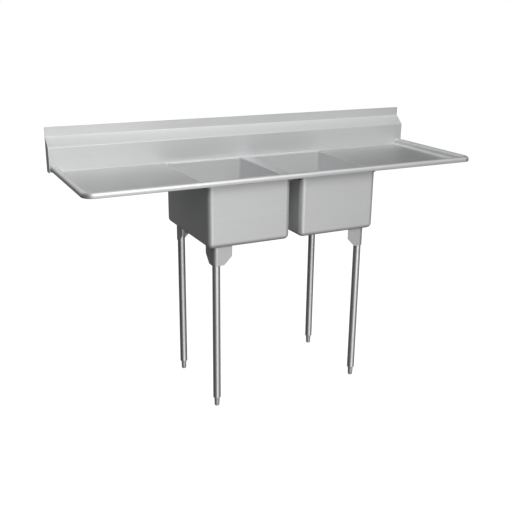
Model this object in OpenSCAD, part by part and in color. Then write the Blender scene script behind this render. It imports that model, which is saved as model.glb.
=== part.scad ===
// Two-bowl stainless steel kitchen sink with a drainboard on each side, a backsplash,
// a rolled rim, four tube legs in corner gussets, screw-adjusted bullet feet and
// basket-strainer drains.  Origin: centre of the footprint, on the floor.
// X runs along the length, +Y towards the wall, +Z up.

/* [Bowls] */
// Outside width of each bowl, along X
bowl_w = 360; // [280:1:450]
// Outside length of each bowl, front to back
bowl_l = 467; // [380:1:560]
// Depth from the deck to the underside of the bowl
bowl_depth = 254.5; // [200:0.5:320]
// Radius of the bowl's upright and bottom corners, outside
bowl_r = 21; // [12:1:30]
// Clear gap between the two bowls
bowl_gap = 47; // [30:1:80]
// Thickness of every bent sheet
sheet_t = 1.5; // [1:0.1:2.5]

/* [Deck] */
// Height of the deck above the floor
deck_h = 963; // [800:1:1150]
// Length of each drainboard's flat, from the bowl to the rim section
board_l = 442.5; // [300:0.5:700]
// Flat strip between the bowls and the backsplash
ledge_w = 23; // [15:1:60]
// Depth of the turned-down edge of the divider and of the rear ledge
lip_h = 12; // [6:1:25]

/* [Rim] */
// Radius of the half-round roll
roll_r = 14.5; // [10:0.5:20]
// Height of the upright between the cove and the roll
rim_upright_h = 1.5; // [0.5:0.5:12]
// Height of the roll's outer skirt below its centre
skirt_h = 7.5; // [4:0.5:12]
// Radius of the cove between the deck and the roll
cove_r = 12; // [6:0.5:20]
// Width of the flat between the cove and the bowls
rim_flat_w = 4; // [2:0.5:20]

/* [Backsplash] */
// Height of the upright face above the deck
splash_h = 99.5; // [60:0.5:220]
// Depth of the slope, from the face back to the wall flange
slope_d = 45; // [25:1:60]
// Height of the slope
slope_h = 39.5; // [25:0.5:60]
// Height of the wall flange above the slope
flange_h = 39; // [15:1:60]
// Inside radius of the backsplash's bends
bend_r = 2; // [1:0.5:5]
// How far the backsplash stands out past the rim at each end
splash_over = 4; // [2:0.5:10]
// How far the end caps hang below the deck
cap_drop = 5; // [2:0.5:20]

/* [Legs] */
// Outside diameter of the leg tube
leg_d = 31.75; // [26:0.25:45]
// Distance from the outer side edge of a bowl's flat underside to the gusset plates
gusset_side_inset = 8; // [0.2:0.1:20]
// Distance from the front and back edges of a bowl's flat underside to the gusset plates
gusset_end_inset = 0.5; // [0.2:0.1:20]
// Height of the gussets below the bowls
gusset_h = 79; // [60:1:120]
// Width of each gusset plate
gusset_w = 81; // [60:1:110]
// Width of the sloped corner cut of the gusset plates
gusset_cut = 35; // [15:1:40]
// Length of the leg sockets
socket_l = 58; // [45:1:70]
// Radial clearance between the leg and its socket
socket_gap = 0.1; // [0.05:0.05:0.3]
// Diameter of the set screws
screw_d = 8; // [6:1:10]

/* [Feet] */
// Height of the leg tube's lower end above the floor
foot_h = 42; // [30:1:60]
// Diameter of the bullet foot
foot_d = 22; // [18:0.5:24]
// Diameter of the flat that the foot stands on
foot_flat_d = 14; // [8:0.5:15]
// Length of the foot inside the leg
foot_in = 36; // [30:1:60]
// Length of the insert inside the leg
insert_l = 32; // [20:1:50]
// Radial clearance between the foot and its insert
foot_gap = 0.05; // [0.02:0.01:0.1]

/* [Drains] */
// Outside diameter of the strainer's cup
cup_d = 86; // [70:1:110]
// Radial clearance between the cup and the hole in the bowl
drain_hole_gap = 2; // [0.5:0.5:4]
// Width of the strainer's flange outside the cup
drain_flange_w = 14; // [10:1:20]
// Depth of the strainer's cup below the bowl
cup_h = 44; // [36:1:60]
// Outside diameter of the outlet stub
outlet_d = 38; // [32:1:50]
// Length of the outlet stub
outlet_l = 22; // [15:1:40]
// Height that the stopper stands above the cup's floor when it is raised
stopper_lift = 14.5; // [10:0.5:20]
// Gap left between the basket's pieces and what they seat on
seat_gap = 0.3; // [0.2:0.1:1]
// Radial clearance between the pull post and the basket
post_gap = 0.05; // [0.02:0.01:0.1]

/* [Hidden] */
$fn = 48;
eps = 0.01;

steel = [0.78, 0.79, 0.80];
bright_steel = [0.84, 0.85, 0.86];
zinc_grey = [0.62, 0.63, 0.64];
black_rubber = [0.12, 0.12, 0.12];
fibre_tan = [0.70, 0.62, 0.48];

left = -1;
right = 1;
front = -1;
back = 1;

// Plan places
rim_w = 2 * roll_r + cove_r + rim_flat_w;
roll_rise = cove_r + rim_upright_h;
depth_all = rim_w + bowl_l + ledge_w + slope_d + sheet_t;
front_y = -depth_all / 2;
bowl_front_y = front_y + rim_w;
bowl_back_y = bowl_front_y + bowl_l;
bowl_mid_y = bowl_front_y + bowl_l / 2;
splash_y = bowl_back_y + ledge_w;
wall_y = splash_y + slope_d;
bowl_in_x = bowl_gap / 2;
bowl_mid_x = bowl_in_x + bowl_w / 2;
bowl_out_x = bowl_in_x + bowl_w;
board_end_x = bowl_out_x + board_l;
rim_out_x = board_end_x + rim_w;
splash_end_x = rim_out_x + splash_over;

// Heights
bowl_bottom_z = deck_h - bowl_depth;
bowl_floor_z = bowl_bottom_z + sheet_t;
slope_low_z = deck_h + splash_h;
slope_top_z = slope_low_z + slope_h;
splash_top_z = slope_top_z + flange_h;

// Legs, sockets and gussets, about the leg axis
gusset_r = leg_d / 2 + socket_gap + 2 * sheet_t;
leg_x = bowl_out_x - bowl_r - gusset_side_inset - gusset_r;
leg_end_inset = bowl_r + gusset_end_inset + gusset_r;
leg_front_y = bowl_front_y + leg_end_inset;
leg_back_y = bowl_back_y - leg_end_inset;
leg_r = leg_d / 2;
leg_in_r = leg_r - sheet_t;
socket_in_r = leg_r + socket_gap;
socket_out_r = socket_in_r + sheet_t;
socket_cap_t = 3;
leg_top_gap = 1;
leg_top_z = bowl_bottom_z - socket_cap_t - leg_top_gap;
boss_r = screw_d / 2 + 3;
boss_l = 9;
screw_l = 15;
screw_z = bowl_bottom_z - socket_l + boss_r + 3;
screw_hex_d = screw_d / 2;
screw_hex_l = 4;
screw_r = screw_d / 2;

// Feet
foot_r = foot_d / 2;
foot_taper = 0.7;
foot_low_r = foot_r - foot_taper;
foot_flat_r = foot_flat_d / 2;
foot_nose_h = 6;
foot_travel = 12;
insert_flange_t = 3;
foot_shank_z = foot_h - insert_flange_t - foot_travel;
insert_bore_r = foot_r + foot_gap;

// Drains
drain_flange_t = 2;
drain_flange_r = cup_d / 2 + drain_flange_w;
drain_hole_r = cup_d / 2 + drain_hole_gap;
seat_d = cup_d + 3;
seat_step = 0.8;
cup_r = cup_d / 2;
cup_in_r = cup_r - sheet_t;
cup_floor_z = bowl_bottom_z - cup_h;
outlet_r = outlet_d / 2;
outlet_in_r = outlet_r - sheet_t;
gasket_t = 3;
friction_washer_t = 1.5;
locknut_t = 12;
locknut_rim = 9;
locknut_lugs = 6;
basket_wall = 1.2;
basket_r = cup_in_r - 2.5;
basket_rim_r = seat_d / 2 - seat_gap;
basket_hole_d = 5;
post_r = 3.5;
knob_r = 8;
knob_h = 8;
post_rise = 10;
post_low = 4;
stopper_t = 5;
stopper_r = outlet_r + 6;
flange_top_z = bowl_floor_z + drain_flange_t;
basket_seat_z = flange_top_z - seat_step + seat_gap;
stopper_z = cup_floor_z + sheet_t + stopper_lift;
basket_floor_z = stopper_z + stopper_t + seat_gap;
basket_h = basket_seat_z - basket_floor_z;

// Stiffeners
stiffener_w = 60;
stiffener_h = 20;
stiffener_flange = 14;
stiffener_end_gap = 70;

// Rectangle with four round corners
module round_rect(size_x, size_y, r) {
    translate([r, 0]) square([size_x - 2 * r, size_y]);
    translate([0, r]) square([size_x, size_y - 2 * r]);
    for (px = [r, size_x - r], py = [r, size_y - r])
        translate([px, py]) circle(r);
}

// Box with round upright corners and a round-edged bottom, open-topped when cut from another
module round_tub(size_x, size_y, size_z, r) {
    translate([0, 0, r]) linear_extrude(size_z - r) round_rect(size_x, size_y, r);
    translate([r, r, 0]) cube([size_x - 2 * r, size_y - 2 * r, r + eps]);
    for (py = [r, size_y - r])
        translate([r, py, r]) rotate([0, 90, 0]) cylinder(h = size_x - 2 * r, r = r);
    for (px = [r, size_x - r])
        translate([px, r, r]) rotate([-90, 0, 0]) cylinder(h = size_y - 2 * r, r = r);
    for (px = [r, size_x - r], py = [r, size_y - r])
        translate([px, py, r]) sphere(r);
}

// Pressed bowl with a drain hole and four deck-level webs that square its mouth
module bowl(side) {
    x0 = side * bowl_mid_x - bowl_w / 2;
    color(steel) difference() {
        translate([x0, bowl_front_y, 0]) union() {
            translate([0, 0, bowl_bottom_z]) round_tub(bowl_w, bowl_l, bowl_depth, bowl_r);
            translate([0, 0, deck_h - sheet_t]) cube([bowl_w, bowl_l, sheet_t]);
        }
        translate([x0 + sheet_t, bowl_front_y + sheet_t, bowl_floor_z])
            round_tub(bowl_w - 2 * sheet_t, bowl_l - 2 * sheet_t, bowl_depth, bowl_r - sheet_t);
        translate([side * bowl_mid_x, bowl_mid_y, bowl_bottom_z - 1])
            cylinder(h = sheet_t + 2, r = drain_hole_r);
    }
}

// Channel that closes the top of the gap between the bowls
module divider() {
    color(steel) translate([-bowl_in_x, bowl_front_y, deck_h]) difference() {
        translate([0, 0, -lip_h]) cube([bowl_gap, bowl_l, lip_h]);
        translate([sheet_t, -1, -lip_h - 1])
            cube([bowl_gap - 2 * sheet_t, bowl_l + 2, lip_h + 1 - sheet_t]);
    }
}

// Strip behind the bowls, with a lip along the bowls' back walls
module rear_ledge() {
    color(steel) {
        translate([-bowl_out_x, bowl_back_y, deck_h - sheet_t])
            cube([2 * bowl_out_x, ledge_w, sheet_t]);
        translate([-bowl_out_x, bowl_back_y, deck_h - lip_h])
            cube([2 * bowl_out_x, sheet_t, lip_h]);
    }
}

// Flat drainboard between a bowl and the rim, with a lip down the bowl's outer wall
module drainboard(side) {
    x0 = side > 0 ? bowl_out_x : -board_end_x;
    lip_x = side > 0 ? bowl_out_x : -bowl_out_x - sheet_t;
    color(steel) {
        translate([x0, bowl_front_y, deck_h - sheet_t])
            cube([board_l, splash_y - bowl_front_y, sheet_t]);
        translate([lip_x, bowl_front_y, deck_h - lip_h]) cube([sheet_t, bowl_l, lip_h]);
    }
}

// Section of the rim: skirt, half-round roll, cove and flat.  x = 0 is the outer face and
// y = 0 is the deck.
module rim_section() {
    // skirt
    translate([0, roll_rise - skirt_h]) square([sheet_t, skirt_h]);
    // roll
    translate([roll_r, roll_rise]) intersection() {
        difference() {
            circle(roll_r);
            circle(roll_r - sheet_t);
        }
        translate([-roll_r, 0]) square([2 * roll_r, roll_r]);
    }
    // upright between the roll and the cove
    translate([2 * roll_r - sheet_t, cove_r]) square([sheet_t, rim_upright_h]);
    // cove
    translate([2 * roll_r + cove_r, cove_r]) intersection() {
        difference() {
            circle(cove_r + sheet_t);
            circle(cove_r);
        }
        translate([-cove_r - sheet_t, -cove_r - sheet_t]) square(cove_r + sheet_t);
    }
    // flat
    translate([2 * roll_r + cove_r, -sheet_t]) square([rim_flat_w, sheet_t]);
}

// Straight front rim
module rim_front() {
    color(steel) translate([-board_end_x, front_y, deck_h])
        rotate([90, 0, 90]) linear_extrude(2 * board_end_x) rim_section();
}

// Straight side rim, from the front corner to the backsplash
module rim_side(side) {
    color(steel) mirror([side > 0 ? 1 : 0, 0, 0])
        translate([-rim_out_x, splash_y, deck_h])
            rotate([90, 0, 0]) linear_extrude(splash_y - bowl_front_y) rim_section();
}

// Quarter-turn rim corner; its inner edge comes to a point on the deck
module rim_corner(side) {
    color(steel) mirror([side > 0 ? 1 : 0, 0, 0])
        translate([-board_end_x, bowl_front_y, deck_h]) rotate([0, 0, 180])
            rotate_extrude(angle = 90) translate([rim_w, 0]) mirror([1, 0]) rim_section();
}

// Points of an arc about c from angle a0 to a1
function arc(c, r, a0, a1, n = 4) =
    [for (i = [0:n]) let (a = a0 + (a1 - a0) * i / n) [c[0] + r * cos(a), c[1] + r * sin(a)]];

slope_a = atan2(slope_h, slope_d);

// Outline of the backsplash's visible side, from its foot to its top, moved back by offset d
function splash_line(d) = let (
    ro = bend_r + sheet_t - d,
    ri = bend_r + d,
    half = tan((90 - slope_a) / 2),
    low_c = [splash_y + bend_r + sheet_t, slope_low_z - half * (bend_r + sheet_t)],
    top_c = [wall_y - bend_r, slope_top_z + half * bend_r]
) concat(
    [[splash_y + d, deck_h - sheet_t]],
    arc(low_c, ro, 180, 90 + slope_a),
    arc(top_c, ri, slope_a - 90, 0),
    [[wall_y + d, splash_top_z]]
);

function reversed(list) = [for (i = [len(list) - 1:-1:0]) list[i]];

// Extrudes an outline drawn in Y and Z along X, from x0
module along_x(x0, length) {
    translate([x0, 0, 0]) rotate([90, 0, 90]) linear_extrude(length) children();
}

// Upright face, slope and wall flange bent from one sheet
module backsplash() {
    color(bright_steel) along_x(-splash_end_x + sheet_t, 2 * (splash_end_x - sheet_t))
        polygon(concat(splash_line(0), reversed(splash_line(sheet_t))));
}

// Flat plate that closes an end of the backsplash
module end_cap(side) {
    x0 = side > 0 ? splash_end_x - sheet_t : -splash_end_x;
    back_y = wall_y + sheet_t;
    low_z = deck_h - cap_drop;
    face = splash_line(0);
    color(bright_steel) along_x(x0, sheet_t)
        polygon(concat([[splash_y, low_z]], [for (i = [1:len(face) - 1]) face[i]],
                       [[back_y, splash_top_z], [back_y, low_z]]));
}

// Hat channel welded under a drainboard, front to back
module stiffener(side) {
    w = stiffener_w;
    h = stiffener_h;
    f = stiffener_flange;
    t = sheet_t;
    mid_x = side * (bowl_out_x + board_end_x) / 2;
    y0 = bowl_front_y + stiffener_end_gap;
    y1 = splash_y - stiffener_end_gap;
    color(steel) translate([mid_x, y1, deck_h - t]) rotate([90, 0, 0]) linear_extrude(y1 - y0)
        polygon([[-w / 2, 0], [-w / 2, -t], [-w / 2 + f - t, -t], [-w / 2 + f - t, -h],
                 [w / 2 - f + t, -h], [w / 2 - f + t, -t], [w / 2, -t], [w / 2, 0],
                 [w / 2 - f, 0], [w / 2 - f, t - h], [f - w / 2, t - h], [f - w / 2, 0]]);
}

// Moves a piece drawn for the back right corner, about the leg axis, to its own corner
module at_corner(side, end) {
    translate([side * leg_x, end > 0 ? leg_back_y : leg_front_y, 0])
        mirror([side > 0 ? 0 : 1, 0, 0]) mirror([0, end > 0 ? 0 : 1, 0]) children();
}

// One plate of a gusset, with its low free corner cut on a slope
module gusset_plate() {
    flat_l = gusset_w - gusset_r;
    rotate([90, 0, 0]) linear_extrude(sheet_t)
        polygon([[0, 0], [-flat_l, 0], [-flat_l, gusset_cut - gusset_h],
                 [gusset_cut - flat_l, -gusset_h], [0, -gusset_h]]);
}

// Bent corner gusset that wraps the outer side of the socket
module gusset(side, end) {
    color(steel) at_corner(side, end) translate([0, 0, bowl_bottom_z]) {
        translate([0, gusset_r, 0]) gusset_plate();
        mirror([1, -1, 0]) translate([0, gusset_r, 0]) gusset_plate();
        translate([0, 0, -gusset_h]) intersection() {
            difference() {
                cylinder(h = gusset_h, r = gusset_r);
                translate([0, 0, -1]) cylinder(h = gusset_h + 2, r = socket_out_r);
            }
            cube([gusset_r, gusset_r, gusset_h]);
        }
    }
}

// Places a piece drawn along +X at the set screw's height, pointing to the bowl's middle
module at_screw(side, end) {
    at_corner(side, end) translate([0, 0, screw_z]) rotate([0, 0, 225]) children();
}

// Round socket with a closed top and a threaded boss for the set screw
module socket(side, end) {
    color(steel) difference() {
        union() {
            at_corner(side, end) translate([0, 0, bowl_bottom_z - socket_l])
                cylinder(h = socket_l, r = socket_out_r);
            at_screw(side, end) translate([leg_r, 0, 0]) rotate([0, 90, 0])
                cylinder(h = sheet_t + boss_l, r = boss_r);
        }
        at_corner(side, end) translate([0, 0, bowl_bottom_z - socket_l - 1])
            cylinder(h = socket_l + 1 - socket_cap_t, r = socket_in_r);
        at_screw(side, end) rotate([0, 90, 0]) cylinder(h = leg_d + boss_l, r = screw_r);
    }
}

// The four set screws that clamp the legs
module leg_set_screws() {
    color(zinc_grey) for (side = [left, right], end = [front, back])
        at_screw(side, end) translate([leg_r, 0, 0]) rotate([0, 90, 0]) difference() {
            cylinder(h = screw_l, r = screw_r);
            translate([0, 0, screw_l - screw_hex_l])
                cylinder(h = screw_hex_l + 1, d = screw_hex_d, $fn = 6);
        }
}

// Leg tube
module leg(side, end) {
    color(bright_steel) at_corner(side, end) translate([0, 0, foot_h]) difference() {
        cylinder(h = leg_top_z - foot_h, r = leg_r);
        translate([0, 0, -1]) cylinder(h = leg_top_z - foot_h + 2, r = leg_in_r);
    }
}

// Flanged insert pressed into the lower end of a leg
module insert(side, end) {
    color(zinc_grey) at_corner(side, end) difference() {
        union() {
            translate([0, 0, foot_h - insert_flange_t]) cylinder(h = insert_flange_t, r = leg_r);
            translate([0, 0, foot_h - eps]) cylinder(h = insert_l + eps, r = leg_in_r);
        }
        translate([0, 0, foot_h - insert_flange_t - 1])
            cylinder(h = insert_l + insert_flange_t + 2, r = insert_bore_r);
    }
}

// Bullet foot: a round shank that narrows a little down to its rounded nose
module foot(side, end) {
    top_z = foot_h + foot_in;
    nose = [for (i = [0:6]) let (a = 90 * i / 6)
        [foot_flat_r + (foot_low_r - foot_flat_r) * sin(a), foot_nose_h * (1 - cos(a))]];
    color(zinc_grey) at_corner(side, end) rotate_extrude()
        polygon(concat([[0, 0]], nose, [[foot_r, foot_shank_z], [foot_r, top_z], [0, top_z]]));
}

// Centres the drain pieces on a bowl's drain hole
module at_drain(side) {
    translate([side * bowl_mid_x, bowl_mid_y, 0]) children();
}

// Strainer body: flange, cup and outlet stub
module strainer(side) {
    color(bright_steel) at_drain(side) difference() {
        union() {
            translate([0, 0, bowl_floor_z]) cylinder(h = drain_flange_t, r = drain_flange_r);
            translate([0, 0, cup_floor_z])
                cylinder(h = bowl_floor_z + eps - cup_floor_z, r = cup_r);
            translate([0, 0, cup_floor_z - outlet_l]) cylinder(h = outlet_l + eps, r = outlet_r);
        }
        translate([0, 0, flange_top_z - seat_step]) cylinder(h = seat_step + 1, d = seat_d);
        translate([0, 0, cup_floor_z + sheet_t])
            cylinder(h = flange_top_z - cup_floor_z, r = cup_in_r);
        translate([0, 0, cup_floor_z - outlet_l - 1])
            cylinder(h = outlet_l + sheet_t + 2, r = outlet_in_r);
    }
}

// Flat ring around the strainer's cup, from height z
module cup_ring(z, h, r_out) {
    translate([0, 0, z]) difference() {
        cylinder(h = h, r = r_out);
        translate([0, 0, -1]) cylinder(h = h + 2, r = cup_r);
    }
}

// Rubber gasket under the bowl
module gasket(side) {
    color(black_rubber) at_drain(side)
        cup_ring(bowl_bottom_z - gasket_t, gasket_t, drain_flange_r);
}

// Fibre friction washer under the gasket
module friction_washer(side) {
    color(fibre_tan) at_drain(side)
        cup_ring(bowl_bottom_z - gasket_t - friction_washer_t, friction_washer_t,
                 drain_flange_r);
}

// Large lugged nut that clamps the strainer to the bowl
module locknut(side) {
    z = bowl_bottom_z - gasket_t - friction_washer_t - locknut_t;
    lug = 8;
    color(zinc_grey) at_drain(side) {
        cup_ring(z, locknut_t, cup_r + locknut_rim - 2);
        difference() {
            for (i = [0:locknut_lugs - 1]) rotate([0, 0, i * 360 / locknut_lugs])
                translate([cup_r + 2, -lug / 2, z]) cube([locknut_rim, lug, locknut_t]);
            translate([0, 0, z - 1]) cylinder(h = locknut_t + 2, r = cup_r);
        }
    }
}

// Lift-out perforated basket
module basket(side) {
    rings = [[8, 15], [14, 23]];
    color(bright_steel) at_drain(side) translate([0, 0, basket_floor_z]) difference() {
        union() {
            cylinder(h = basket_h + eps, r = basket_r);
            translate([0, 0, basket_h]) cylinder(h = basket_wall, r = basket_rim_r);
        }
        translate([0, 0, basket_wall])
            cylinder(h = basket_h + basket_wall, r = basket_r - basket_wall);
        translate([0, 0, -1]) cylinder(h = basket_wall + 2, r = post_r + post_gap);
        for (ring = rings, i = [0:ring[0] - 1]) rotate([0, 0, i * 360 / ring[0]])
            translate([ring[1], 0, -1]) cylinder(h = basket_wall + 2, d = basket_hole_d);
    }
}

// Post and knob that raise the stopper and lift the basket
module pull_post(side) {
    post_z = stopper_z + stopper_t - post_low;
    color(bright_steel) at_drain(side) {
        translate([0, 0, post_z])
            cylinder(h = basket_floor_z + basket_h + post_rise - post_z, r = post_r);
        translate([0, 0, basket_floor_z + basket_h + post_rise - eps]) rotate_extrude()
            polygon(concat([[0, 0], [post_r + 1, 0], [knob_r, 2]],
                           arc([knob_r - 3, knob_h - 3], 3, 0, 90), [[0, knob_h]]));
    }
}

// Rubber stopper on the post, below the basket
module stopper(side) {
    color(black_rubber) at_drain(side) translate([0, 0, stopper_z])
        difference() {
            rotate_extrude() polygon([[0, 0], [stopper_r - 3, 0], [stopper_r, 2],
                                      [stopper_r, stopper_t], [0, stopper_t]]);
            translate([0, 0, stopper_t - post_low]) cylinder(h = post_low + 1, r = post_r);
        }
}

bowl(left);  // bowl_left
bowl(right);  // bowl_right
divider();
rear_ledge();
drainboard(left);  // drainboard_left
drainboard(right);  // drainboard_right
rim_front();
rim_side(left);  // rim_left
rim_side(right);  // rim_right
rim_corner(left);  // rim_corner_left
rim_corner(right);  // rim_corner_right
backsplash();
end_cap(left);  // end_cap_left
end_cap(right);  // end_cap_right
stiffener(left);  // stiffener_left
stiffener(right);  // stiffener_right
gusset(left, front);  // gusset_front_left
gusset(right, front);  // gusset_front_right
gusset(left, back);  // gusset_back_left
gusset(right, back);  // gusset_back_right
socket(left, front);  // socket_front_left
socket(right, front);  // socket_front_right
socket(left, back);  // socket_back_left
socket(right, back);  // socket_back_right
leg_set_screws();
leg(left, front);  // leg_front_left
leg(right, front);  // leg_front_right
leg(left, back);  // leg_back_left
leg(right, back);  // leg_back_right
insert(left, front);  // insert_front_left
insert(right, front);  // insert_front_right
insert(left, back);  // insert_back_left
insert(right, back);  // insert_back_right
foot(left, front);  // foot_front_left
foot(right, front);  // foot_front_right
foot(left, back);  // foot_back_left
foot(right, back);  // foot_back_right
strainer(left);  // strainer_left
strainer(right);  // strainer_right
gasket(left);  // gasket_left
gasket(right);  // gasket_right
friction_washer(left);  // friction_washer_left
friction_washer(right);  // friction_washer_right
locknut(left);  // locknut_left
locknut(right);  // locknut_right
basket(left);  // basket_left
basket(right);  // basket_right
pull_post(left);  // pull_post_left
pull_post(right);  // pull_post_right
stopper(left);  // stopper_left
stopper(right);  // stopper_right
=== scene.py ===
import math

import bmesh
import bpy
from mathutils import Matrix, Vector
from mathutils.geometry import delaunay_2d_cdt


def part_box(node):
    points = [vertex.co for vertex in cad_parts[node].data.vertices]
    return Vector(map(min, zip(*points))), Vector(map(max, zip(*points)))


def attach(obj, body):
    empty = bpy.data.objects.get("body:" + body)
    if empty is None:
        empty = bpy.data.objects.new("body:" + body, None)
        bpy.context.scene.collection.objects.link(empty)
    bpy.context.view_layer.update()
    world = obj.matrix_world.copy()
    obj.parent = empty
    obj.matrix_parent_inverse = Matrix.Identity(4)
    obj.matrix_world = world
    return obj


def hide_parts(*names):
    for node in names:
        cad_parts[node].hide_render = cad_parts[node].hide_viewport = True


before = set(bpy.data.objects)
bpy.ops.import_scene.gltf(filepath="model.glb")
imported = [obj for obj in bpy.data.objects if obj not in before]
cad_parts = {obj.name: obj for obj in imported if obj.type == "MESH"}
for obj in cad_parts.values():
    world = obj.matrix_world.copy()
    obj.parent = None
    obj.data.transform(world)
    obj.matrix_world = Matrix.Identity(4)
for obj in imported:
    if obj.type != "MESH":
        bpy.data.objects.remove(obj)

# Two-bowl stainless sink with two drainboards: the visible model, built around the CAD frame.
# Metres, the CAD's own frame: +X along the length, +Y to the wall, +Z up.

SIDES = ("left", "right")
CORNERS = ("front_left", "front_right", "back_left", "back_right")
LENGTHWAYS, CROSSWAYS, LEVEL, UPRIGHT = "lengthways", "crossways", "level", "upright"

# Sheet metal
SHEET = 0.0015
EDGE = 0.0003
SHARP_ANGLE = math.radians(34)

# Bowls
BOWL_R = 0.021
MOUTH_R = 0.0012
CREASE_DEPTH = 0.0010
CREASE_START = 0.22
CORNER_STEPS = 12
SIDE_STEPS = 10
FLOOR_RINGS = 14

# Rim section
ROLL_R = 0.0145
COVE_R = 0.012
RIM_UPRIGHT = 0.0015
RIM_FLAT = 0.004
SKIRT = 0.0075
CURL_R = 0.0028
RIM_CORNER_STEPS = 24

# Backsplash
SPLASH_H = 0.0995
SLOPE_H = 0.0395
SPLASH_BEND_R = 0.0028
DECK_FILLET = 0.0009

# Channels
LIP_H = 0.012
LIP_SHORT = 0.001
STIFFENER_FLANGE = 0.014
CHANNEL_BEND_R = 0.003

# Legs, sockets and gussets
GUSSET_H = 0.079
GUSSET_W = 0.081
GUSSET_CUT = 0.035
GUSSET_NIP = 0.004
WRAP_GAP = 0.00002
SOCKET_GAP = 0.0001
SOCKET_CAP = 0.003
BOSS_R = 0.007
BOSS_L = 0.009
SCREW_R = 0.004
SCREW_L = 0.015
SCREW_PITCH = 0.00125
HEX_ACROSS = 0.004
HEX_DEPTH = 0.004

# Feet
FOOT_NOSE_H = 0.006
FOOT_FLAT_R = 0.007
FOOT_TAPER = 0.0007
FOOT_TRAVEL = 0.012
FOOT_PITCH = 0.0025
FOOT_THREAD = 0.0009
INSERT_FLANGE = 0.003
FOOT_GAP = 0.00005

# Drains
DRAIN_FLANGE_W = 0.014
DRAIN_HOLE_GAP = 0.002
CUP_WALL = 0.0015
CUP_BEND_R = 0.005
OUTLET_L = 0.022
CUP_THREAD = 0.0008
CUP_PITCH = 0.0025
OUTLET_R = 0.019
SEAT_STEP = 0.0008
BASKET_WALL = 0.0009
BASKET_HOLE_R = 0.002
SLOT_COUNT = 24
SLOT_W = 0.0034
BASKET_LIP_W = 0.0052
BASKET_LIP_H = 0.0022
BASKET_BEND_R = 0.003
POST_R = 0.0035
KNOB_H = 0.008
NUT_BODY_W = 0.007
NUT_LUG_W = 0.011
NUT_LUG_HALF = 0.004
NUT_LUGS = 6
NUT_GROOVES = 72
# Holes in the basket's floor: how many in each ring, and the ring's radius
BASKET_HOLE_RINGS = ((8, 0.011), (14, 0.019), (20, 0.027), (26, 0.0335))

# Radius that stands for the axis, where a turned piece closes
AXIS_R = 0.00001
AXIS_MERGE = 2 * AXIS_R

# Weld beads
BEAD_R = 0.0018
BEAD_PITCH = 0.0016
BEAD_RIPPLE = 0.00022

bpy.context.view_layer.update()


# ---------------------------------------------------------------- places from the frame

def span(node):
    """Lowest and highest corner of a CAD node."""
    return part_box(node)


def middle(node):
    """Middle of a CAD node's box."""
    low, high = span(node)
    return (low + high) / 2


def axis_of(node):
    """Plan position of the upright axis through a CAD node's middle."""
    centre = middle(node)
    return centre.x, centre.y


def radius_of(node):
    """Half the width of a CAD node along X."""
    low, high = span(node)
    return (high.x - low.x) / 2


BOWL_LOW, BOWL_HIGH = span("bowl_right")
DECK_Z = BOWL_HIGH.z
BOWL_BOTTOM_Z = BOWL_LOW.z
BOWL_FLOOR_Z = BOWL_BOTTOM_Z + SHEET
BOWL_FRONT_Y = BOWL_LOW.y
BOWL_BACK_Y = BOWL_HIGH.y
BOWL_IN_X = BOWL_LOW.x
BOWL_OUT_X = BOWL_HIGH.x
BOARD_END_X = span("drainboard_right")[1].x
RIM_OUT_X = span("rim_right")[1].x
FRONT_Y = span("rim_front")[0].y
SPLASH_Y = span("backsplash")[0].y
BACK_Y = span("backsplash")[1].y
SPLASH_TOP_Z = span("backsplash")[1].z
RIM_W = RIM_OUT_X - BOARD_END_X
ROLL_Z = DECK_Z + COVE_R + RIM_UPRIGHT
LEG_R = radius_of("leg_front_left")
SOCKET_IN_R = LEG_R + SOCKET_GAP
SOCKET_OUT_R = SOCKET_IN_R + SHEET
GUSSET_R = SOCKET_OUT_R + SHEET


def side_sign(side):
    """1 on the right, -1 on the left."""
    return 1 if side.endswith("right") else -1


def end_sign(corner):
    """1 at the back, -1 at the front."""
    return 1 if corner.startswith("back") else -1


# ---------------------------------------------------------------- outlines in a plane

def polar(radius, angle, centre=(0, 0)):
    """Point at an angle, in radians, and a distance from a centre."""
    return (centre[0] + radius * math.cos(angle), centre[1] + radius * math.sin(angle))


def turn_angles(steps):
    """Angles, in radians, that divide a full turn evenly."""
    return [2 * math.pi * i / steps for i in range(steps)]


def arc(centre, radius, start, end, steps):
    """Points of an arc, from angle start to angle end in degrees."""
    return [polar(radius, math.radians(start + (end - start) * i / steps), centre)
            for i in range(steps + 1)]


def round_corner(before, corner, after, radius, steps):
    """Arc that replaces one corner of a line."""
    corner = Vector(corner)
    to_before = Vector(before) - corner
    to_after = Vector(after) - corner
    half = to_before.angle(to_after) / 2
    reach = min(radius / math.tan(half), 0.49 * to_before.length, 0.49 * to_after.length)
    if half > math.radians(89.5) or reach <= 0:
        return [tuple(corner)]
    start = corner + to_before.normalized() * reach
    end = corner + to_after.normalized() * reach
    bisector = (to_before.normalized() + to_after.normalized()).normalized()
    centre = corner + bisector * (reach / math.cos(half))
    points = []
    for i in range(steps + 1):
        ray = (start - centre).lerp(end - centre, i / steps)
        points.append(tuple(centre + ray.normalized() * (start - centre).length))
    return points


def rounded(points, radius, steps=5, closed=True):
    """A line or outline with its corners rounded. radius is one value or one for each corner."""
    radii = radius if isinstance(radius, (list, tuple)) else [radius] * len(points)
    out = []
    for i, point in enumerate(points):
        open_end = not closed and i in (0, len(points) - 1)
        if open_end or radii[i] == 0:
            out.append(tuple(point))
            continue
        after = points[(i + 1) % len(points)]
        out += round_corner(points[i - 1], point, after, radii[i], steps)
    return out


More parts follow.
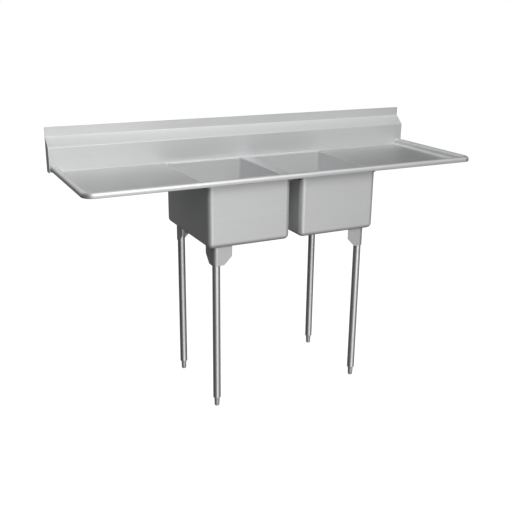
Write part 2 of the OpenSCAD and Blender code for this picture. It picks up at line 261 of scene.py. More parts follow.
def offset_line(line, distance):
    """The line moved to its left by distance, with mitred corners."""
    moved = []
    for i, point in enumerate(line):
        before = Vector(line[max(i - 1, 0)])
        after = Vector(line[min(i + 1, len(line) - 1)])
        here = Vector(point)
        first = (here - before).normalized() if i > 0 else (after - here).normalized()
        second = (after - here).normalized() if i < len(line) - 1 else first
        left_first = Vector((-first.y, first.x))
        left_second = Vector((-second.y, second.x))
        normal = (left_first + left_second).normalized()
        moved.append(tuple(here + normal * (distance / max(normal.dot(left_first), 0.2))))
    return moved


def sheet_outline(line, thickness=SHEET):
    """Closed outline of a bent sheet, which lies to the left of the line, with eased ends."""
    outline = list(line) + offset_line(line, thickness)[::-1]
    radii = [0] * len(outline)
    for i in (0, len(line) - 1, len(line), len(outline) - 1):
        radii[i] = EDGE
    return rounded(outline, radii, steps=2)


# ---------------------------------------------------------------- meshes

def loft(rings, wrap=True, caps=False):
    """Quads between rings of equal length. caps closes the first and last ring."""
    count = len(rings[0])
    verts = [tuple(point) for ring in rings for point in ring]
    faces = []
    for r in range(len(rings) - 1):
        for i in range(count if wrap else count - 1):
            j = (i + 1) % count
            faces.append((r * count + i, r * count + j, (r + 1) * count + j, (r + 1) * count + i))
    if caps:
        last = (len(rings) - 1) * count
        faces.append(tuple(range(count))[::-1])
        faces.append(tuple(range(last, last + count)))
    return verts, faces


def circle_ring(radius, z, centre=(0, 0), steps=40):
    """One ring of points."""
    return [(*polar(radius, angle, centre), z) for angle in turn_angles(steps)]


def rings_of(line, centre=(0, 0), steps=40):
    """A ring for each (radius, height) of a line."""
    return [circle_ring(radius, z, centre, steps) for radius, z in line]


def lathe(profile, centre=(0, 0), steps=64, closed=False):
    """Turns a profile of (radius, height) about an upright axis."""
    line = list(profile) + ([profile[0]] if closed else [])
    return loft(rings_of(line, centre, steps))


def threaded(radius, depth, pitch, low, high, centre=(0, 0), steps=40, rows_per_turn=8):
    """Cylinder skin with a thread that fades in and out at its ends."""
    rows = int((high - low) / pitch * rows_per_turn)
    rings = []
    for row in range(rows + 1):
        z = low + (high - low) * row / rows
        fade = min(1, (z - low) / pitch, (high - z) / pitch)
        ring = []
        for i in range(steps):
            turn = i / steps
            phase = ((z - low) / pitch - turn) % 1
            cut = depth * fade * (1 - abs(2 * phase - 1))
            ring.append((*polar(radius - cut, 2 * math.pi * turn, centre), z))
        rings.append(ring)
    return rings


def prism(outline, place, start, end):
    """Extrudes an outline; place(u, v, w) gives the point for outline (u, v) at length w."""
    rings = [[place(u, v, w) for u, v in outline] for w in (start, end)]
    return loft(rings, caps=True)


def along_x(u, v, w):
    """Place for a section drawn in Y and Z."""
    return (w, u, v)


def along_y(u, v, w):
    """Place for a section drawn in X and Z."""
    return (u, w, v)


def turned(mesh, matrix):
    """Mesh moved by a matrix."""
    return [tuple(matrix @ Vector(v)) for v in mesh[0]], mesh[1]


def material_index_where(obj, test, index):
    """Gives faces whose middle and normal pass the test another material slot."""
    for face in obj.data.polygons:
        if test(face.center, face.normal):
            face.material_index = index


def build(name, meshes, materials, replaces=(), body="sink", merge=1e-6,
          weighted=True):
    """Makes one piece from meshes and hangs it on its CAD body.

    weighted=False leaves the normals to the caller, or as the folds give them."""
    work = bmesh.new()
    for verts, faces in meshes:
        added = [work.verts.new(v) for v in verts]
        for face in faces:
            if len(set(face)) > 2:
                work.faces.new([added[i] for i in face])
    bmesh.ops.remove_doubles(work, verts=work.verts, dist=merge)
    bmesh.ops.dissolve_degenerate(work, edges=work.edges, dist=merge)
    bmesh.ops.recalc_face_normals(work, faces=work.faces)
    data = bpy.data.meshes.new(name)
    work.to_mesh(data)
    work.free()
    obj = bpy.data.objects.new(name, data)
    bpy.context.scene.collection.objects.link(obj)
    for material in materials if isinstance(materials, (list, tuple)) else [materials]:
        data.materials.append(material)
    shade(obj)
    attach(obj, body)
    if replaces:
        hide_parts(*replaces)
    if weighted:
        weight_normals(obj)
    return obj


def shade(obj):
    """Smooth shading that keeps flats flat and folds sharp."""
    for face in obj.data.polygons:
        face.use_smooth = True
    obj.data.set_sharp_from_angle(angle=SHARP_ANGLE)


def weight_normals(obj):
    """Shading led by the larger faces."""
    modifier = obj.modifiers.new("even_shading", "WEIGHTED_NORMAL")
    modifier.keep_sharp = True


def ease_edges(obj, width=EDGE, segments=2):
    """Small rounding on the piece's sharp edges."""
    modifier = obj.modifiers.new("eased_edges", "BEVEL")
    modifier.width = width
    modifier.segments = segments
    modifier.limit_method = "ANGLE"
    modifier.angle_limit = SHARP_ANGLE
    modifier.harden_normals = False


def combine(obj, mesh, operation):
    """Joins a mesh to a piece, or cuts it out, and keeps the result."""
    cutter_data = bpy.data.meshes.new("cutter")
    cutter_data.from_pydata(mesh[0], [], mesh[1])
    cutter = bpy.data.objects.new("cutter", cutter_data)
    bpy.context.scene.collection.objects.link(cutter)
    work = bmesh.new()
    work.from_mesh(cutter_data)
    bmesh.ops.remove_doubles(work, verts=work.verts, dist=1e-6)
    bmesh.ops.recalc_face_normals(work, faces=work.faces)
    work.to_mesh(cutter_data)
    work.free()
    modifier = obj.modifiers.new("combine", "BOOLEAN")
    modifier.operation = operation
    modifier.solver = "EXACT"
    modifier.object = cutter
    graph = bpy.context.evaluated_depsgraph_get()
    result = bpy.data.meshes.new_from_object(obj.evaluated_get(graph))
    obj.modifiers.remove(modifier)
    obj.data = result
    bpy.data.objects.remove(cutter)
    shade(obj)


# ---------------------------------------------------------------- materials

def new_material(name):
    """A material, its node tree and its shader."""
    material = bpy.data.materials.new(name)
    material.use_nodes = True
    tree = material.node_tree
    return material, tree, tree.nodes["Principled BSDF"]


def surface(tree, shader, colour, rough, normal):
    """Joins the three sockets that vary over a surface to its shader."""
    for name, value in (("Base Color", colour), ("Roughness", rough), ("Normal", normal)):
        tree.links.new(value, shader.inputs[name])


def stretched_noise(tree, stretch, detail=4.0, offset=0.0):
    """Noise with its own scale along each axis, in metres of the object."""
    place = tree.nodes.new("ShaderNodeTexCoord")
    mapping = tree.nodes.new("ShaderNodeMapping")
    mapping.inputs["Scale"].default_value = stretch
    mapping.inputs["Location"].default_value = (offset, offset, offset)
    noise = tree.nodes.new("ShaderNodeTexNoise")
    noise.inputs["Scale"].default_value = 1.0
    noise.inputs["Detail"].default_value = detail
    tree.links.new(place.outputs["Object"], mapping.inputs["Vector"])
    tree.links.new(mapping.outputs["Vector"], noise.inputs["Vector"])
    return noise.outputs["Fac"]


def ranged(tree, value, low, high, from_low=0.3, from_high=0.7):
    """Value moved from one range to another, and held inside it."""
    node = tree.nodes.new("ShaderNodeMapRange")
    node.inputs["From Min"].default_value = from_low
    node.inputs["From Max"].default_value = from_high
    node.inputs["To Min"].default_value = low
    node.inputs["To Max"].default_value = high
    tree.links.new(value, node.inputs["Value"])
    return node.outputs["Result"]


def calc(tree, operation, first, second):
    """One math node; each input is a socket or a number."""
    node = tree.nodes.new("ShaderNodeMath")
    node.operation = operation
    for socket, value in zip(node.inputs, (first, second)):
        if isinstance(value, (int, float)):
            socket.default_value = value
        else:
            tree.links.new(value, socket)
    return node.outputs["Value"]


def grey(tree, value, tint=(1.0, 1.0, 1.0)):
    """Colour from a brightness, with a faint tint."""
    node = tree.nodes.new("ShaderNodeCombineColor")
    for socket, share in zip(("Red", "Green", "Blue"), tint):
        tree.links.new(calc(tree, "MULTIPLY", value, share), node.inputs[socket])
    return node.outputs["Color"]


def bump(tree, height, strength, distance=0.0002):
    """Normal from a height; distance is how deep the relief is, in metres."""
    node = tree.nodes.new("ShaderNodeBump")
    node.inputs["Strength"].default_value = strength
    node.inputs["Distance"].default_value = distance
    tree.links.new(height, node.inputs["Height"])
    return node.outputs["Normal"]


# Grain per metre along each axis: fine across the brush marks, coarse along them
FINE = 1100.0
GRAIN = {
    LENGTHWAYS: (5.0, FINE, FINE),
    CROSSWAYS: (FINE, 5.0, FINE),
    LEVEL: (6.0, 6.0, FINE),
    UPRIGHT: (FINE, FINE, 5.0),
}


def brushed_steel(name, grain, tone=0.80, roughness=0.50, polish=0.05, relief=0.08,
                  metal=0.80):
    """Satin stainless steel: long fine grain, cloudy hand marks and faint stray scratches."""
    material, tree, shader = new_material(name)
    fine = GRAIN[grain]
    coarse = tuple(max(axis * 0.25, 2.0) for axis in fine)
    scratch = tuple(min(axis, 380.0) * (0.22 if axis < 10 else 1.0) for axis in fine)
    grain_fine = stretched_noise(tree, fine, detail=3.0)
    grain_coarse = stretched_noise(tree, coarse, detail=2.0, offset=3.1)
    clouds = stretched_noise(tree, (6.0, 6.0, 6.0), detail=3.0, offset=7.7)
    stray = stretched_noise(tree, scratch, detail=0.0, offset=1.7)
    marks = ranged(tree, stray, 0.0, 1.0, 0.72, 0.78)
    lines = calc(tree, "ADD", calc(tree, "MULTIPLY", grain_fine, 0.65),
                 calc(tree, "MULTIPLY", grain_coarse, 0.35))
    rough = ranged(tree, lines, roughness - polish, roughness + polish)
    cloudy = ranged(tree, clouds, -0.025, 0.03)
    rough = calc(tree, "ADD", rough, cloudy)
    rough = calc(tree, "ADD", rough, calc(tree, "MULTIPLY", marks, 0.03))
    bright = ranged(tree, lines, tone * 0.965, tone * 1.03)
    bright = calc(tree, "SUBTRACT", bright, calc(tree, "MULTIPLY", marks, 0.015))
    height = calc(tree, "SUBTRACT", lines, calc(tree, "MULTIPLY", marks, 0.15))
    shader.inputs["Metallic"].default_value = metal
    surface(tree, shader, grey(tree, bright, (0.995, 1.0, 1.004)),
            rough, bump(tree, height, relief, 0.00012))
    return material


def plated_zinc(name):
    """Dull plated casting: faint spangle, speckle and soft roughness changes."""
    material, tree, shader = new_material(name)
    speckle = stretched_noise(tree, (900.0, 900.0, 900.0), detail=4.0)
    clouds = stretched_noise(tree, (120.0, 120.0, 120.0), detail=2.0, offset=2.3)
    tone = calc(tree, "ADD", ranged(tree, clouds, 0.68, 0.78),
                ranged(tree, speckle, -0.03, 0.03))
    shader.inputs["Metallic"].default_value = ZINC_METAL
    surface(tree, shader, grey(tree, tone, (1.0, 0.995, 0.985)),
            ranged(tree, speckle, 0.34, 0.52), bump(tree, speckle, 0.25))
    return material


def weld_metal(name):
    """Weld bead: duller than the sheet, with small colour changes from heat."""
    material, tree, shader = new_material(name)
    patches = stretched_noise(tree, (260.0, 260.0, 260.0), detail=3.0)
    tone = ranged(tree, patches, 0.36, 0.52)
    shader.inputs["Metallic"].default_value = 1.0
    surface(tree, shader, grey(tree, tone, (1.02, 1.0, 0.96)),
            ranged(tree, patches, 0.36, 0.50), bump(tree, patches, 0.2))
    return material


def rubber(name):
    """Black moulded rubber with a powdery surface."""
    material, tree, shader = new_material(name)
    powder = stretched_noise(tree, (1500.0, 1500.0, 1500.0), detail=4.0)
    wipe = stretched_noise(tree, (60.0, 60.0, 60.0), detail=3.0, offset=5.0)
    tone = ranged(tree, wipe, 0.018, 0.035)
    surface(tree, shader, grey(tree, tone),
            ranged(tree, powder, 0.52, 0.70), bump(tree, powder, 0.3))
    return material


def fibre(name):
    """Pressed fibre board: tan with short crossing fibres."""
    material, tree, shader = new_material(name)
    one_way = stretched_noise(tree, (1400.0, 160.0, 600.0), detail=3.0)
    other_way = stretched_noise(tree, (160.0, 1400.0, 600.0), detail=3.0, offset=4.0)
    mixed = calc(tree, "MULTIPLY", calc(tree, "ADD", one_way, other_way), 0.5)
    tone = ranged(tree, mixed, 0.26, 0.42, 0.35, 0.65)
    surface(tree, shader, grey(tree, tone, (1.0, 0.82, 0.60)),
            ranged(tree, mixed, 0.72, 0.88), bump(tree, mixed, 0.4))
    return material


ZINC_METAL = 0.60
FLOOR_GLOW = 0.92


def pale_floor(name):
    """Matt pale ground with a glow that keeps it near white."""
    material, _, shader = new_material(name)
    shader.inputs["Base Color"].default_value = (0.35, 0.35, 0.35, 1.0)
    shader.inputs["Roughness"].default_value = 0.9
    shader.inputs["Specular IOR Level"].default_value = 0.1
    shader.inputs["Emission Color"].default_value = (1.0, 1.0, 1.0, 1.0)
    shader.inputs["Emission Strength"].default_value = FLOOR_GLOW
    return material


STEEL_LONG = brushed_steel("steel_grain_lengthways", LENGTHWAYS)
STEEL_CROSS = brushed_steel("steel_grain_crossways", CROSSWAYS)
STEEL_LEVEL = brushed_steel("steel_grain_level", LEVEL)
STEEL_UPRIGHT = brushed_steel("steel_grain_upright", UPRIGHT)
# Backsplash steel: rougher than the rest, and toned a little brighter as painted light where its face
# reflects the dark bowls.
STEEL_SPLASH_PAINTED_LIGHT = brushed_steel("steel_splash_painted_light", LENGTHWAYS, tone=0.83, roughness=0.60)
# Drainboard steel: the same stainless, toned darker than the rest as painted shade on the drainboards'
# up-facing tops.
STEEL_DECK_PAINTED_SHADE = brushed_steel("steel_deck_painted_shade", LENGTHWAYS, tone=0.66)
# Bowl steel: the same stainless, toned brighter than the rest as painted light, so the bowls' shaded
# insides read lit.
STEEL_BOWL_PAINTED_LIGHT = brushed_steel("steel_bowl_painted_light", LEVEL, tone=0.86, metal=0.60)
STEEL_TUBE = brushed_steel("steel_tube", UPRIGHT, tone=0.92, roughness=0.36, polish=0.015,
                           relief=0.01)
STEEL_DRAIN = brushed_steel("steel_drain", LEVEL, roughness=0.22, polish=0.03)
ZINC = plated_zinc("plated_zinc")
WELD = weld_metal("weld_metal")
RUBBER = rubber("black_rubber")
FIBRE = fibre("pressed_fibre")


# ---------------------------------------------------------------- bowls

def mouth_ring(low, high, radius, square=False):
    """Points round a bowl, anticlockwise, with each corner's arc or its square corner."""
    ring = []
    corners = ((high.x, low.y, -90), (high.x, high.y, 0), (low.x, high.y, 90), (low.x, low.y, 180))
    for x, y, start in corners:
        centre = (x - radius * math.copysign(1, x - (low.x + high.x) / 2),
                  y - radius * math.copysign(1, y - (low.y + high.y) / 2))
        bend = []
        for i in range(CORNER_STEPS + 1):
            angle = math.radians(start + 90 * i / CORNER_STEPS)
            reach = radius
            if square:
                reach = radius / max(abs(math.cos(angle)), abs(math.sin(angle)))
            bend.append(Vector(polar(reach, angle, centre)))
        ring.append(bend)
    points = []
    for index, bend in enumerate(ring):
        points += bend
        after = ring[(index + 1) % 4][0]
        for step in range(1, SIDE_STEPS):
            points.append(bend[-1].lerp(after, step / SIDE_STEPS))
    return points


def inset_box(low, high, inset):
    """Corners of a box moved in on all four sides."""
    step = Vector((inset, inset, 0))
    return low + step, high - step


def raise_ring(points, z):
    """Plan points at one height."""
    return [(p.x, p.y, z) for p in points]


def bottom_rings(low, high, inset, bottom_z, radius, steps=8):
    """Rings round a bowl's bottom edge, from the flat floor up to the wall."""
    rings = []
    for i in range(steps + 1):
        angle = math.radians(90 * i / steps)
        pull = radius * (1 - math.sin(angle))
        box = inset_box(low, high, inset + pull)
        corner = max(radius - pull, 0.0001)
        z = bottom_z + radius * (1 - math.cos(angle))
        rings.append(raise_ring(mouth_ring(box[0], box[1], corner), z))
    return rings


def floor_rings(edge, centre, hole_r, z):
    """Rings from the drain hole out to the floor's edge, with a crease to each corner."""
    rings = []
    per_side = CORNER_STEPS + SIDE_STEPS
    for k in range(FLOOR_RINGS):
        share = (k / FLOOR_RINGS) ** 0.85
        ring = []
        for i, point in enumerate(edge):
            out = Vector((point[0] - centre.x, point[1] - centre.y))
            start = out.normalized() * hole_r
            here = start.lerp(out, share)
            from_crease = abs(i % per_side - CORNER_STEPS / 2) / 3
            fade = min(1, share / 0.12) * min(1, (1 - share) / CREASE_START)
            depth = CREASE_DEPTH * max(0, 1 - from_crease) * fade
            ring.append((centre.x + here.x, centre.y + here.y, z - depth))
        rings.append(ring)
    return rings


def bowl(side):
    """Pressed bowl: creased floor, coved corners, eased mouth and deck-level corner webs."""
    low, high = span("bowl_" + side)
    centre = (low + high) / 2
    hole_r = radius_of("strainer_" + side) - DRAIN_FLANGE_W + DRAIN_HOLE_GAP
    inner_r = BOWL_R - SHEET
    inner = bottom_rings(low, high, SHEET, BOWL_FLOOR_Z, inner_r)
    outer = bottom_rings(low, high, 0, BOWL_BOTTOM_Z, BOWL_R)
    rings = floor_rings(inner[0], centre, hole_r, BOWL_FLOOR_Z) + inner
    steps = 6
    for i in range(steps + 1):
        angle = math.radians(90 * i / steps)
        box = inset_box(low, high, SHEET - MOUTH_R * (1 - math.cos(angle)))
        corner = inner_r + MOUTH_R * (1 - math.cos(angle))
        z = DECK_Z - MOUTH_R * (1 - math.sin(angle))
        rings.append(raise_ring(mouth_ring(box[0], box[1], corner), z))
    rings.append(raise_ring(mouth_ring(low, high, BOWL_R, square=True), DECK_Z))
    rings.append(raise_ring(mouth_ring(low, high, BOWL_R, square=True), DECK_Z - SHEET))
    rings.append(raise_ring(mouth_ring(low, high, BOWL_R), DECK_Z - SHEET))
    rings += outer[::-1]
    rings += floor_rings(outer[0], centre, hole_r, BOWL_BOTTOM_Z)[::-1]
    rings.append(rings[0])
    # The walls take the bowl steel with its painted light; the flat floor takes the crossways steel.
    obj = build("bowl_shell_" + side, [loft(rings)], [STEEL_BOWL_PAINTED_LIGHT, STEEL_CROSS],
                ["bowl_" + side])
    flat = BOWL_FLOOR_Z + inner_r * 0.25
    material_index_where(obj, lambda c, n: c.z < flat and abs(n.z) > 0.8, 1)


# ---------------------------------------------------------------- deck

def divider():
    """Channel that closes the top of the gap between the bowls."""
    half = BOWL_IN_X
    line = [(half, DECK_Z - LIP_H), (half, DECK_Z), (-half, DECK_Z), (-half, DECK_Z - LIP_H)]
    line = rounded(line, EDGE, steps=2, closed=False)
    outline = sheet_outline(line)
    build("divider_channel", [prism(outline, along_y, BOWL_FRONT_Y, BOWL_BACK_Y)],
          STEEL_CROSS, ["divider"], weighted=False)


def rear_ledge():
    """Strip behind the bowls with a lip down their back walls."""
    line = [(BOWL_BACK_Y + SHEET, DECK_Z - LIP_H), (BOWL_BACK_Y + SHEET, DECK_Z - SHEET),
            (SPLASH_Y, DECK_Z - SHEET)]
    outline = line + offset_line(line, SHEET)[::-1]
    build("rear_ledge_strip", [prism(outline, along_x, -BOWL_OUT_X, BOWL_OUT_X)],
          STEEL_LONG, ["rear_ledge"], weighted=False)


def drainboard(side):
    """Flat drainboard with a lip down the bowl's outer wall, mitred at the lip's ends."""
    inner, outer = sorted((side_sign(side) * BOWL_OUT_X, side_sign(side) * BOARD_END_X))
    low_z = DECK_Z - SHEET
    top = prism([(inner, DECK_Z), (outer, DECK_Z), (outer, low_z), (inner, low_z)],
                along_y, BOWL_FRONT_Y, SPLASH_Y)
    drop = LIP_H - SHEET
    front, back = BOWL_FRONT_Y + LIP_SHORT, BOWL_BACK_Y - LIP_SHORT
    lip = [(front, low_z), (back, low_z), (back - drop, low_z - drop), (front + drop, low_z - drop)]
    start = side_sign(side) * BOWL_OUT_X
    flap = prism(lip, along_x, start, start + side_sign(side) * SHEET)
    build("drainboard_sheet_" + side, [top, flap], STEEL_DECK_PAINTED_SHADE, ["drainboard_" + side],
          weighted=False)


# ---------------------------------------------------------------- rim

def rim_line():
    """Outer face of the rim's section, from its curled skirt over the roll to the flat.

    The first number is the distance in from the outer face, the second the height."""
    skirt_z = ROLL_Z - SKIRT
    curl = arc((CURL_R, skirt_z + CURL_R), CURL_R, 300, 180, 7)
    roll = arc((ROLL_R, ROLL_Z), ROLL_R, 180, 0, 22)
    cove = arc((2 * ROLL_R + COVE_R, DECK_Z + COVE_R), COVE_R, 180, 270, 12)
    return curl + roll + cove + [(2 * ROLL_R + COVE_R + RIM_FLAT, DECK_Z)]


def rim_outline():
    """Closed section of the rim, with the sheet's thickness inside the roll."""
    return sheet_outline(rim_line()[::-1])


def rim_front():
    """Straight rim along the front."""
    outline = [(FRONT_Y + u, v) for u, v in rim_outline()]
    build("front_rim", [prism(outline, along_x, -BOARD_END_X, BOARD_END_X)],
          STEEL_LONG, ["rim_front"])


def rim_side(side):
    """Straight rim along one end."""
    sign = side_sign(side)
    outline = [(sign * (RIM_OUT_X - u), v) for u, v in rim_outline()]
    build("side_rim_" + side, [prism(outline, along_y, BOWL_FRONT_Y, SPLASH_Y)],
          STEEL_CROSS, ["rim_" + side])


def rim_corner(side):
    """Quarter turn of the rim's section."""
    sign = side_sign(side)
    rings = []
    for i in range(RIM_CORNER_STEPS + 1):
        angle = math.radians(90 * i / RIM_CORNER_STEPS)
        ring = []
        for u, v in rim_outline():
            reach = max(RIM_W - u, 0.00005)
            ring.append((sign * (BOARD_END_X + reach * math.sin(angle)),
                         BOWL_FRONT_Y - reach * math.cos(angle), v))
        rings.append(ring)
    build("rim_corner_bend_" + side, [loft(rings, caps=True)], STEEL_LEVEL,
          ["rim_corner_" + side])


# ---------------------------------------------------------------- backsplash

def splash_line(steps=8):
    """Front face of the backsplash, from its foot on the deck to its top, in Y and Z."""
    wall_y = BACK_Y - SHEET
    low_z = DECK_Z + SPLASH_H
    top_z = low_z + SLOPE_H
    line = [(SPLASH_Y, DECK_Z - SHEET), (SPLASH_Y, low_z), (wall_y, top_z), (wall_y, SPLASH_TOP_Z)]
    return rounded(line, [0, SPLASH_BEND_R + SHEET, SPLASH_BEND_R, 0], steps, closed=False)


def backsplash():
    """Upright face, slope and wall flange in one bent sheet, with a fillet along the deck."""
    low, high = span("backsplash")
    outline = sheet_outline(splash_line()[::-1])
    sheet = prism(outline, along_x, low.x, high.x)
    r = DECK_FILLET
    fillet = arc((SPLASH_Y - r, DECK_Z + r), r, 0, -90, 6)
    fillet += [(SPLASH_Y - r, DECK_Z - SHEET / 2), (SPLASH_Y + SHEET / 2, DECK_Z - SHEET / 2),
               (SPLASH_Y + SHEET / 2, DECK_Z + r)]
    weld = prism(fillet, along_x, -BOARD_END_X, BOARD_END_X)
    build("backsplash_sheet", [sheet, weld], STEEL_SPLASH_PAINTED_LIGHT, ["backsplash"])


def end_cap(side):
    """Plate that closes an end of the backsplash, with eased edges."""
    low, high = span("end_cap_" + side)
    outline = [(SPLASH_Y, low.z)] + splash_line()[1:] + [(BACK_Y, SPLASH_TOP_Z), (BACK_Y, low.z)]
    obj = build("end_plate_" + side, [prism(outline, along_x, low.x, high.x)],
                STEEL_UPRIGHT, ["end_cap_" + side], weighted=False)
    ease_edges(obj, width=0.0005, segments=3)
    weight_normals(obj)


# ---------------------------------------------------------------- stiffeners

def stiffener(side):
    """Hat channel under a drainboard, with open bends and two rows of plug welds."""
    low, high = span("stiffener_" + side)
    flange = STIFFENER_FLANGE
    line = [(low.x, high.z - SHEET), (low.x + flange, high.z - SHEET), (low.x + flange, low.z),
            (high.x - flange, low.z), (high.x - flange, high.z - SHEET), (high.x, high.z - SHEET)]
    bends = [0] + [CHANNEL_BEND_R] * 4 + [0]
    outline = sheet_outline(rounded(line, bends, 6, closed=False))
    channel = prism(outline, along_y, low.y, high.y)
    build("stiffener_channel_" + side, [channel], STEEL_CROSS, ["stiffener_" + side])
    spots = []
    count = 6
    for x in (low.x + flange / 2, high.x - flange / 2):
        for i in range(count):
            y = low.y + (high.y - low.y) * (i + 0.5) / count
            dome = [(0, -0.0005), (0.0018, -0.0004), (0.0028, 0), (0.0028, 0.0003), (0, 0.0003)]
            spots.append(lathe([(r, high.z - SHEET + z) for r, z in dome], (x, y), 20))
    build("stiffener_plug_welds_" + side, spots, WELD)


# ---------------------------------------------------------------- weld beads

def bead(path, radius=BEAD_R, sides=8):
    """Rippled bead along a path of points, with tapered ends."""
    points = [Vector(p) for p in path]
    lengths = [0.0]
    for before, after in zip(points, points[1:]):
        lengths.append(lengths[-1] + (after - before).length)
    total = lengths[-1]
    count = max(6, int(total / BEAD_PITCH * 4))
    rings = []
    for k in range(count + 1):
        along = total * k / count
        index = next(i for i in range(len(points) - 1) if lengths[i + 1] >= along - 1e-9)
        share = (along - lengths[index]) / max(lengths[index + 1] - lengths[index], 1e-9)
        here = points[index].lerp(points[index + 1], share)
        forward = (points[index + 1] - points[index]).normalized()
        across = forward.orthogonal().normalized()
        upward = forward.cross(across)
        taper = min(1, math.sqrt(min(along, total - along) / radius + 0.02))
        size = radius * taper + BEAD_RIPPLE * taper * math.cos(2 * math.pi * along / BEAD_PITCH)
        ring = []
        for angle in turn_angles(sides):
            ring.append(here + (across * math.cos(angle) + upward * math.sin(angle)) * size)
        rings.append(ring)
    return loft(rings, caps=True)


# ---------------------------------------------------------------- legs

def corner_matrix(corner):
    """Moves a mesh drawn about the leg axis, for the back right corner, to its own corner."""
    place = middle("leg_" + corner)
    flip = Matrix.Diagonal((side_sign(corner), end_sign(corner), 1, 1))
    return Matrix.Translation((place.x, place.y, 0)) @ flip


def gusset_path(radius, steps=12):
    """Plan line of the gusset, from one free end round the bend to the other."""
    reach = GUSSET_W - GUSSET_R
    return [(-reach, radius)] + arc((0, 0), radius, 90, 0, steps) + [(radius, -reach)]


def gusset_columns():
    """Distances from a free end at which the gusset's edge changes, and its drop there."""
    cut = rounded([(0, GUSSET_H - GUSSET_CUT), (GUSSET_CUT, GUSSET_H),
                   (GUSSET_W - GUSSET_R, GUSSET_H)], [0, GUSSET_NIP, 0], 5, closed=False)
    nip = arc((GUSSET_NIP, GUSSET_H - GUSSET_CUT - GUSSET_NIP * 0.6), GUSSET_NIP, 180, 135, 4)
    return [(max(u, 0), v) for u, v in nip if v < GUSSET_H - GUSSET_CUT + u] + cut[1:]


def gusset(corner):
    """Bent corner gusset: two plates and a bend that wraps the socket."""
    reach = GUSSET_W - GUSSET_R
    columns = gusset_columns()
    rings = []
    for layer_r in (GUSSET_R, SOCKET_OUT_R + WRAP_GAP):
        plan = [(-reach + along, layer_r, drop) for along, drop in columns]
        plan += [(x, y, GUSSET_H) for x, y in arc((0, 0), layer_r, 90, 0, 14)]
        plan += [(layer_r, -reach + along, drop) for along, drop in columns[::-1]]
        rings.append(plan)
    top = BOWL_BOTTOM_Z
    loops = []
    for (out_x, out_y, drop), (in_x, in_y, _) in zip(*rings):
        loops.append([(out_x, out_y, top), (out_x, out_y, top - drop),
                      (in_x, in_y, top - drop), (in_x, in_y, top)])
    mesh = turned(loft(loops, caps=True), corner_matrix(corner))
    obj = build("corner_gusset_" + corner, [mesh], STEEL_UPRIGHT,
                ["gusset_" + corner], weighted=False)
    ease_edges(obj, width=0.0003)
    weight_normals(obj)
    gusset_welds(corner)


def gusset_welds(corner):
    """Beads along the gusset's top, outside and inside, and down the socket."""
    z = BOWL_BOTTOM_Z - 0.0003
    matrix = corner_matrix(corner)
    outside = [(x, y, z) for x, y in gusset_path(GUSSET_R + 0.0004)]
    meshes = [turned(bead(outside, BEAD_R * 0.8), matrix)]
    inner = GUSSET_R - SHEET - 0.0006
    reach = GUSSET_W - GUSSET_R
    for start, end in (((-reach + 0.004, inner), (-0.012, inner)),
                       ((inner, -0.012), (inner, -reach + 0.004))):
        meshes.append(turned(bead([(*start, z), (*end, z)]), matrix))
    foot = span("socket_" + corner)[0].z + 0.004
    for x, y in ((-SOCKET_OUT_R * 0.6, inner - 0.0022), (inner - 0.0022, -SOCKET_OUT_R * 0.6)):
        meshes.append(turned(bead([(x, y, foot), (x, y, BOWL_BOTTOM_Z - 0.004)]), matrix))
    build("gusset_welds_" + corner, meshes, WELD)


def screw_matrix(corner):
    """Places a mesh drawn upright at the origin on the set screw's axis, pointing inwards."""
    z = middle("leg_set_screws").z
    tilt = Matrix.Rotation(math.radians(225), 4, "Z") @ Matrix.Rotation(math.radians(90), 4, "Y")
    return corner_matrix(corner) @ Matrix.Translation((0, 0, z)) @ tilt


def socket(corner):
    """Closed-top socket with a threaded boss for the set screw."""
    top_z, low_z = BOWL_BOTTOM_Z, span("socket_" + corner)[0].z
    profile = [(0, top_z - SOCKET_CAP), (SOCKET_IN_R, top_z - SOCKET_CAP),
               (SOCKET_IN_R, low_z + EDGE), (SOCKET_IN_R + EDGE, low_z),
               (SOCKET_OUT_R - EDGE, low_z), (SOCKET_OUT_R, low_z + EDGE),
               (SOCKET_OUT_R, top_z - EDGE), (SOCKET_OUT_R - EDGE, top_z), (0, top_z)]
    obj = build("leg_socket_" + corner, [lathe(profile, axis_of("leg_" + corner), 48)],
                STEEL_LEVEL, ["socket_" + corner], weighted=False)
    matrix = screw_matrix(corner)
    out = LEG_R + SHEET + BOSS_L
    boss = [(0, LEG_R + 0.0006), (BOSS_R + 0.0016, LEG_R + 0.0006), (BOSS_R, LEG_R + 0.0034),
            (BOSS_R, out - 0.0008), (BOSS_R - 0.0008, out), (0, out)]
    hole = [(0, LEG_R - 0.004), (SCREW_R, LEG_R - 0.004), (SCREW_R, out - 0.0006),
            (SCREW_R + 0.0008, out + 0.0002), (0, out + 0.0002)]
    combine(obj, turned(lathe(boss, steps=32), matrix), "UNION")
    combine(obj, turned(lathe(hole, steps=32), matrix), "DIFFERENCE")
    weight_normals(obj)


def set_screw(corner):
    """Socket-head set screw with a thread, a chamfered end and a hexagon hole."""
    low, high = LEG_R, LEG_R + SCREW_L
    chamfer = 0.0006
    steps = 36
    floor_z = high - HEX_DEPTH
    rings = rings_of([(AXIS_R, low), (SCREW_R - chamfer, low)], steps=steps)
    rings += threaded(SCREW_R, chamfer, SCREW_PITCH, low + chamfer, high - chamfer, steps=steps)
    rings += rings_of([(SCREW_R - chamfer, high)], steps=steps)
    hexagon = []
    for angle in turn_angles(steps):
        sector = (angle + math.pi / 6) % (math.pi / 3) - math.pi / 6
        reach = HEX_ACROSS / 2 * math.cos(math.pi / 6) / math.cos(sector)
        hexagon.append(polar(reach, angle))
    rings += [[(x, y, z) for x, y in hexagon] for z in (high, floor_z)]
    rings += rings_of([(AXIS_R, floor_z - 0.0004)], steps=steps)
    mesh = turned(loft(rings), screw_matrix(corner))
    build("set_screw_" + corner, [mesh], ZINC, ["leg_set_screws"], merge=AXIS_MERGE)


